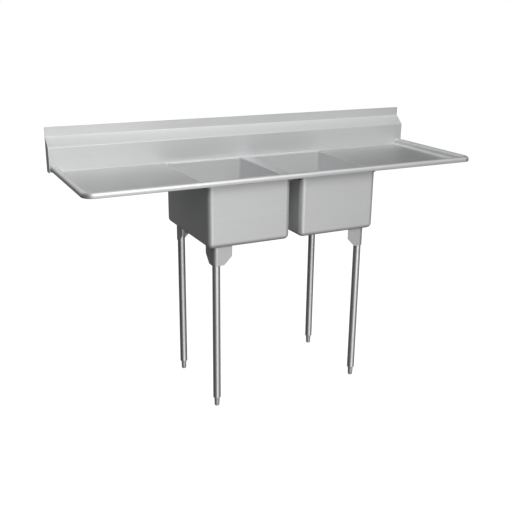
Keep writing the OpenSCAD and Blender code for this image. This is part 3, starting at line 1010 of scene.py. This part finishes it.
def leg(corner):
    """Round tube with eased ends."""
    low, high = span("leg_" + corner)
    inner = LEG_R - SHEET
    profile = [(inner, low.z + EDGE), (inner + EDGE, low.z), (LEG_R - EDGE, low.z),
               (LEG_R, low.z + EDGE), (LEG_R, high.z - EDGE), (LEG_R - EDGE, high.z),
               (inner + EDGE, high.z), (inner, high.z - EDGE)]
    build("leg_tube_" + corner, [lathe(profile, axis_of("leg_" + corner), 72, closed=True)],
          STEEL_TUBE, ["leg_" + corner])


def insert(corner):
    """Flanged insert with a rounded flange and a countersunk bore."""
    low, high = span("insert_" + corner)
    bore = radius_of("foot_" + corner) + FOOT_GAP
    top_r = LEG_R - SHEET
    flange = low.z + INSERT_FLANGE
    profile = rounded([(bore + 0.0008, low.z), (LEG_R, low.z), (LEG_R, flange),
                       (top_r, flange), (top_r, high.z), (bore, high.z), (bore, low.z + 0.0008)],
                      [0, 0.0011, 0.0004, 0, 0.0008, 0, 0], 4)
    build("leg_insert_" + corner, [lathe(profile, axis_of("insert_" + corner), 64, closed=True)],
          ZINC, ["insert_" + corner])


def foot(corner):
    """Bullet foot: rounded nose, slightly tapered shank and a threaded top."""
    low, high = span("foot_" + corner)
    place = axis_of("foot_" + corner)
    radius = radius_of("foot_" + corner)
    low_r = radius - FOOT_TAPER
    seat_z = span("insert_" + corner)[0].z
    steps = 48
    line = [(AXIS_R, low.z)]
    for i in range(9):
        angle = math.radians(90 * i / 8)
        line.append((FOOT_FLAT_R + (low_r - FOOT_FLAT_R) * math.sin(angle),
                     low.z + FOOT_NOSE_H * (1 - math.cos(angle))))
    line.append((radius, seat_z - FOOT_TRAVEL))
    rings = rings_of(line, place, steps)
    rings += threaded(radius, FOOT_THREAD, FOOT_PITCH, seat_z + 0.001, high.z - 0.002,
                      place, steps)
    rings += rings_of([(radius - 0.0015, high.z), (AXIS_R, high.z)], place, steps)
    build("bullet_foot_" + corner, [loft(rings)], ZINC, ["foot_" + corner],
          body="foot_" + corner, merge=AXIS_MERGE)


# ---------------------------------------------------------------- drains

def strainer(side):
    """Strainer body: eased flange, seat, threaded cup and threaded outlet with a crosspiece."""
    low, high = span("strainer_" + side)
    place = axis_of("strainer_" + side)
    flange_r = radius_of("strainer_" + side)
    cup_r = flange_r - DRAIN_FLANGE_W
    in_r = cup_r - CUP_WALL
    floor_z = low.z + OUTLET_L
    seat_r = cup_r + 0.0015
    steps = 72
    inner = rounded([(OUTLET_R - CUP_WALL, low.z), (OUTLET_R - CUP_WALL, floor_z + CUP_WALL),
                     (in_r, floor_z + CUP_WALL), (in_r, high.z - SEAT_STEP),
                     (seat_r, high.z - SEAT_STEP), (seat_r + 0.0004, high.z), (flange_r, high.z),
                     (flange_r, BOWL_FLOOR_Z), (cup_r, BOWL_FLOOR_Z)],
                    [0, 0.0012, CUP_BEND_R, 0.001, 0.0003, 0.0004, 0.0016, 0.0003, 0], 6, closed=False)
    rings = rings_of(inner, place, steps)
    cup = threaded(cup_r, CUP_THREAD, CUP_PITCH, floor_z + 0.006, BOWL_BOTTOM_Z - 0.001,
                   place, steps, 6)
    rings += cup[::-1]
    under = arc((cup_r - CUP_BEND_R, floor_z + CUP_BEND_R), CUP_BEND_R, 0, -90, 6)
    under += [(OUTLET_R + 0.001, floor_z), (OUTLET_R, floor_z - 0.001)]
    rings += rings_of(under, place, steps)
    stub = threaded(OUTLET_R, CUP_THREAD, CUP_PITCH * 0.8, low.z + 0.001, floor_z - 0.004,
                    place, steps, 6)
    rings += stub[::-1]
    rings += rings_of([(OUTLET_R - 0.0006, low.z)], place, steps) + [rings[0]]
    bars = []
    bar_z = floor_z - 0.008
    reach = OUTLET_R - CUP_WALL * 0.6
    bar = rounded([(-0.0009, -0.0015), (0.0009, -0.0015), (0.0009, 0.0015), (-0.0009, 0.0015)],
                  0.0006, 3)
    for turn in (0, 90):
        spin = Matrix.Rotation(math.radians(turn), 4, "Z")
        matrix = Matrix.Translation((*place, bar_z)) @ spin
        bars.append(turned(prism(bar, along_x, -reach, reach), matrix))
    build("strainer_body_" + side, [loft(rings), *bars], STEEL_DRAIN,
          ["strainer_" + side])


def flat_ring(name, node, material, edge):
    """Washer-like ring with rounded edges, from a CAD node's box."""
    low, high = span(node)
    outer = radius_of(node)
    inner = outer - DRAIN_FLANGE_W
    outline = rounded([(inner, low.z), (outer, low.z), (outer, high.z), (inner, high.z)], edge, 4)
    build(name, [lathe(outline, axis_of(node), 72, closed=True)], material, [node])


def locknut(side):
    """Large lugged nut: grooved rim, six lugs and eased faces."""
    node = "locknut_" + side
    low, high = span(node)
    place = axis_of(node)
    bore = radius_of("strainer_" + side) - DRAIN_FLANGE_W
    body_r = bore + NUT_BODY_W
    lug_r = bore + NUT_LUG_W
    steps = NUT_GROOVES * 3
    lug_half = math.asin(NUT_LUG_HALF / lug_r)
    ease = 0.0008

    def reach(i, angle):
        sector = (angle + math.pi / NUT_LUGS) % (2 * math.pi / NUT_LUGS) - math.pi / NUT_LUGS
        if abs(sector) <= lug_half:
            return lug_r * math.cos(lug_half) / math.cos(sector)
        groove = 0.0004 if i % 3 == 0 else 0
        return body_r - groove

    rings = []
    for inset, z in ((ease, low.z), (0, low.z + ease), (0, high.z - ease), (ease, high.z)):
        rings.append([(*polar(reach(i, angle) - inset, angle, place), z)
                      for i, angle in enumerate(turn_angles(steps))])
    inner = [(bore + ease, high.z), (bore, high.z - ease), (bore, low.z + ease),
             (bore + ease, low.z)]
    rings += rings_of(inner, place, steps) + [rings[0]]
    build("locknut_ring_" + side, [loft(rings)], ZINC, [node])


def inside(point, loop):
    """True if a point lies in a closed loop of points."""
    hit = False
    for (x0, y0), (x1, y1) in zip(loop, loop[1:] + loop[:1]):
        if (y0 > point[1]) != (y1 > point[1]):
            if point[0] < (x1 - x0) * (point[1] - y0) / (y1 - y0) + x0:
                hit = not hit
    return hit


def perforated(outline, holes, extra):
    """Flat triangles that fill an outline around holes, with extra points for bending."""
    points, edges = [], []
    for loop in [outline, *holes]:
        first = len(points)
        points += loop
        edges += [(first + i, first + (i + 1) % len(loop)) for i in range(len(loop))]
    points += [p for p in extra if not any(inside(p, hole) for hole in holes)]
    result = delaunay_2d_cdt([Vector(p) for p in points], edges, [], 1, 1e-7)
    verts, faces = result[0], result[2]
    kept = []
    for face in faces:
        mid = sum((verts[i] for i in face), Vector((0, 0))) / len(face)
        if inside(mid, outline) and not any(inside(mid, hole) for hole in holes):
            kept.append(tuple(face))
    return [tuple(v) for v in verts], kept


def hole_loop(centre, radius, steps=14, stretch=0.0):
    """Round hole, or a slot when it is stretched upwards."""
    loop = []
    for i in range(steps):
        angle = 2 * math.pi * (i + 0.5) / steps
        x, y = polar(radius, angle, centre)
        loop.append((x, y + math.copysign(stretch / 2, math.sin(angle))))
    return loop


def basket(side):
    """Stamped basket: perforated floor, slotted wall and rolled rim."""
    node = "basket_" + side
    low, high = span(node)
    place = axis_of(node)
    rim_r = radius_of(node)
    wall_r = rim_r - BASKET_LIP_W
    bend = BASKET_BEND_R
    floor_r = wall_r - bend
    steps = 96
    disc = [polar(floor_r, angle) for angle in turn_angles(steps)]
    holes = [hole_loop((0, 0), 0.0036, 24)]
    for count, ring_r in BASKET_HOLE_RINGS:
        holes += [hole_loop(polar(ring_r, angle), BASKET_HOLE_R) for angle in turn_angles(count)]
    flat, faces = perforated(disc, holes, [])
    floor = [(place[0] + x, place[1] + y, low.z) for x, y in flat], faces
    wall_low, wall_high = low.z + bend, high.z - BASKET_LIP_H
    turn = 2 * math.pi * wall_r
    pitch = turn / SLOT_COUNT
    wall_h = wall_high - wall_low
    sheet = [(turn * i / steps, 0) for i in range(steps + 1)]
    sheet += [(turn * i / steps, wall_h) for i in range(steps, -1, -1)]
    slots = [hole_loop((pitch * (i + 0.5), wall_h / 2), SLOT_W / 2, 12, wall_h * 0.42)
             for i in range(SLOT_COUNT)]
    extra = [(turn * i / steps, wall_h * k / 6) for i in range(1, steps) for k in range(1, 6)
             if i % 4]
    flat, faces = perforated(sheet, slots, extra)
    wall = [(*polar(wall_r, u / wall_r, place), wall_low + v) for u, v in flat]
    cove = arc((floor_r, wall_low), bend, 270, 360, 6)
    lip = [(wall_r, wall_high)] + arc((wall_r + 0.0015, wall_high), 0.0015, 180, 90, 5)
    lip += [(rim_r - 0.0012, wall_high + 0.0015)]
    lip += arc((rim_r - 0.0012, wall_high + 0.0003), 0.0012, 90, 0, 4)
    bends = [loft(rings_of(line, place, steps)) for line in (cove, lip)]
    obj = build("basket_cup_" + side, [floor, (wall, faces), *bends], STEEL_DRAIN,
                [node], body="basket_" + side, merge=5e-5, weighted=False)
    thick = obj.modifiers.new("thickness", "SOLIDIFY")
    thick.thickness = BASKET_WALL
    thick.offset = -1
    thick.use_even_offset = True
    weight_normals(obj)


def pull_post(side):
    """Turned post with a grooved shank and a domed, ribbed knob."""
    node = "pull_post_" + side
    low, high = span(node)
    knob_r = radius_of(node)
    knob_z = high.z - KNOB_H
    r = POST_R
    line = [(AXIS_R, low.z), (r, low.z), (r, knob_z - 0.004), (r - 0.0008, knob_z - 0.003),
            (r - 0.0008, knob_z - 0.001), (r + 0.001, knob_z), (knob_r, knob_z + 0.002),
            (knob_r, high.z - 0.0004), (knob_r - 0.0035, high.z), (AXIS_R, high.z - 0.0006)]
    bends = [0, 0.0006, 0.0004, 0.0004, 0.0004, 0.0008, 0.0014, 0.0028, 0.002, 0]
    profile = rounded(line, bends, closed=False)
    build("pull_knob_" + side, [lathe(profile, axis_of(node), 48)], STEEL_DRAIN,
          [node], body="plug_" + side, merge=AXIS_MERGE)


def stopper(side):
    """Rubber stopper with two sealing ribs and a cup for the post."""
    node = "stopper_" + side
    low, high = span(node)
    outer = radius_of(node)
    line = [(AXIS_R, low.z + 0.0012), (0.010, low.z + 0.0012), (0.0125, low.z),
            (outer - 0.004, low.z), (outer - 0.0016, low.z + 0.0016),
            (outer - 0.0020, low.z + 0.0024), (outer, low.z + 0.0032), (outer, high.z),
            (0.0085, high.z), (0.007, high.z - 0.0007), (AXIS_R, high.z - 0.0007)]
    bends = [0, 0.001, 0.0008, 0.001, 0.0003, 0.0003, 0.0008, 0.0008, 0.0006, 0.0006, 0]
    profile = rounded(line, bends, 4, closed=False)
    build("stopper_disc_" + side, [lathe(profile, axis_of(node), 64)], RUBBER, [node],
          body="plug_" + side, merge=AXIS_MERGE)


# ---------------------------------------------------------------- underside welds

def deck_welds():
    """Stitch beads that join the bowls to the drainboards."""
    meshes = []
    stitch = 0.028
    x = BOWL_OUT_X + 0.0006
    z = DECK_Z - LIP_H - 0.0004
    for sign in (-1, 1):
        for i in range(5):
            y = BOWL_FRONT_Y + BOWL_R * 2 + (BOWL_BACK_Y - BOWL_FRONT_Y - BOWL_R * 4) * i / 4
            meshes.append(bead([(sign * x, y - stitch / 2, z), (sign * x, y + stitch / 2, z)]))
    build("deck_stitch_welds", meshes, WELD)


# ---------------------------------------------------------------- stage

CAMERA_PLACE = (-1.4744, -2.8332, 1.6118)
CAMERA_YAW = 26.61
CAMERA_PITCH = 18.25
CAMERA_ROLL = 0.62
CAMERA_LENS = 53.17


def make_camera():
    """Camera at the chosen view: yaw from +Y towards +X, pitch down, small roll."""
    data = bpy.data.cameras.new("camera")
    data.lens = CAMERA_LENS
    data.sensor_width = 36.0
    data.clip_end = 200.0
    camera = bpy.data.objects.new("camera", data)
    bpy.context.scene.collection.objects.link(camera)
    turn = Matrix.Rotation(math.radians(-CAMERA_YAW), 4, "Z")
    tilt = Matrix.Rotation(math.radians(90 - CAMERA_PITCH), 4, "X")
    roll = Matrix.Rotation(math.radians(CAMERA_ROLL), 4, "Z")
    camera.matrix_world = Matrix.Translation(CAMERA_PLACE) @ turn @ tilt @ roll
    bpy.context.scene.camera = camera


def make_floor():
    """Pale floor, seen only directly, so that the world and the lights shape the steel's tones."""
    size = 60.0
    data = bpy.data.meshes.new("floor")
    data.from_pydata([(-size, -size, 0), (size, -size, 0), (size, size, 0), (-size, size, 0)],
                     [], [(0, 1, 2, 3)])
    floor = bpy.data.objects.new("floor", data)
    floor.data.materials.append(pale_floor("pale_floor"))
    bpy.context.scene.collection.objects.link(floor)
    floor.visible_glossy = False
    floor.visible_diffuse = False


def toward(azimuth, elevation):
    """Direction from the sink: azimuth 0 is the front, 90 the right, in degrees."""
    a, e = math.radians(azimuth), math.radians(elevation)
    return (math.sin(a) * math.cos(e), -math.cos(a) * math.cos(e), math.sin(e))


# The world's even light, then its bright patches: azimuth, elevation, sharpness and strength
WORLD_BASE = 0.02
WORLD_LOBES = (
    (5, -14, 6.0, 0.68),
    (-3, -16, 24.0, 1.05),
    (42, 56, 9.0, 1.1),
    (-10, 55, 8.0, 0.30),
    (197, 36, 10.0, 1.1),
    (170, -5, 9.0, 0.25),
    (0, -85, 5.0, 0.12),
)


def lobe(tree, direction, sharpness, strength):
    """Soft bright patch of the world around a direction."""
    place = tree.nodes.new("ShaderNodeTexCoord")
    dot = tree.nodes.new("ShaderNodeVectorMath")
    dot.operation = "DOT_PRODUCT"
    dot.inputs[1].default_value = direction
    tree.links.new(place.outputs["Generated"], dot.inputs[0])
    fall = calc(tree, "MULTIPLY",
                calc(tree, "SUBTRACT", dot.outputs["Value"], 1.0), sharpness)
    return calc(tree, "MULTIPLY", calc(tree, "EXPONENT", fall, 0.0), strength)


def make_world():
    """Soft studio world: broad bright patches, and a plain pale ground seen directly."""
    world = bpy.data.worlds.new("studio")
    bpy.context.scene.world = world
    world.use_nodes = True
    tree = world.node_tree
    background = tree.nodes["Background"]
    total = WORLD_BASE
    for azimuth, elevation, sharpness, strength in WORLD_LOBES:
        patch = lobe(tree, toward(azimuth, elevation), sharpness, strength)
        total = calc(tree, "ADD", patch, total)
    plain = tree.nodes.new("ShaderNodeBackground")
    plain.inputs["Strength"].default_value = 1.0
    plain.inputs["Color"].default_value = (1.0, 1.0, 1.0, 1.0)
    background.inputs["Color"].default_value = (1.0, 1.0, 1.0, 1.0)
    tree.links.new(total, background.inputs["Strength"])
    path = tree.nodes.new("ShaderNodeLightPath")
    mix = tree.nodes.new("ShaderNodeMixShader")
    tree.links.new(path.outputs["Is Camera Ray"], mix.inputs["Fac"])
    tree.links.new(background.outputs["Background"], mix.inputs[1])
    tree.links.new(plain.outputs["Background"], mix.inputs[2])
    tree.links.new(mix.outputs["Shader"], tree.nodes["World Output"].inputs["Surface"])


# Area lights: name, azimuth, elevation, distance, size and power
LIGHTS = (
    ("key", -5, 35, 4.0, 2.0, 66.0),
    ("overhead", 0, 80, 2.6, 2.0, 4.0),
)


def make_lights():
    """Softboxes aimed at the sink."""
    for name, azimuth, elevation, distance, size, power in LIGHTS:
        data = bpy.data.lights.new(name, "AREA")
        data.size = size
        data.energy = power
        light = bpy.data.objects.new(name, data)
        away = Vector(toward(azimuth, elevation))
        light.location = Vector((0.0, 0.0, DECK_Z)) + away * distance
        light.rotation_euler = away.to_track_quat("Z", "Y").to_euler()
        bpy.context.scene.collection.objects.link(light)


bpy.context.scene.view_settings.view_transform = "Standard"
make_camera()
make_floor()
make_world()
make_lights()

for side in SIDES:
    bowl(side)
    drainboard(side)
    rim_side(side)
    rim_corner(side)
    end_cap(side)
    stiffener(side)
    strainer(side)
    flat_ring("gasket_ring_" + side, "gasket_" + side, RUBBER, 0.0009)
    flat_ring("friction_ring_" + side, "friction_washer_" + side, FIBRE, 0.0002)
    locknut(side)
    basket(side)
    pull_post(side)
    stopper(side)
divider()
rear_ledge()
rim_front()
backsplash()
deck_welds()
for corner in CORNERS:
    gusset(corner)
    socket(corner)
    set_screw(corner)
    leg(corner)
    insert(corner)
    foot(corner)
